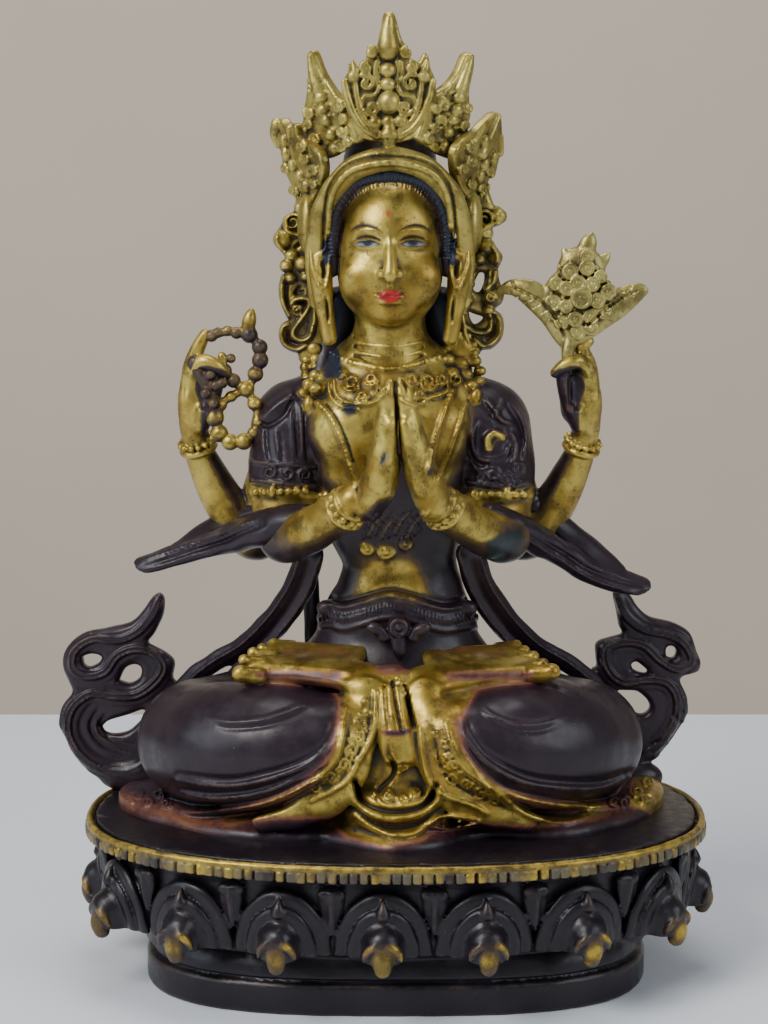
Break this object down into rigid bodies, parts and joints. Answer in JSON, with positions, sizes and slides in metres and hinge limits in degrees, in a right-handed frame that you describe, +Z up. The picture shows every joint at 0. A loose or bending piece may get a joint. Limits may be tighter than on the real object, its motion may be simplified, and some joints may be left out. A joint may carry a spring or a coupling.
{
  "type": "avalokiteshvara statue",
  "caption": "Four-armed Avalokiteshvara seated cross-legged on an oval lotus base, hands joined, with a crown, rosary, lotus and scarf loops.",
  "frame": {"origin": "centre of the oval base, on its underside", "axes": "+Z up, -Y out of the figure's front, +X to the viewer's right"},
  "size_m": [0.1472, 0.092, 0.2093],
  "materials": {
    "dark_bronze": "cast brass under dark purple-brown lacquer, with gold paint on the skin, the crown and the robe's borders"
  },
  "bodies": {
    "root": {"statue": "dark_bronze"}
  },
  "joints": []
}
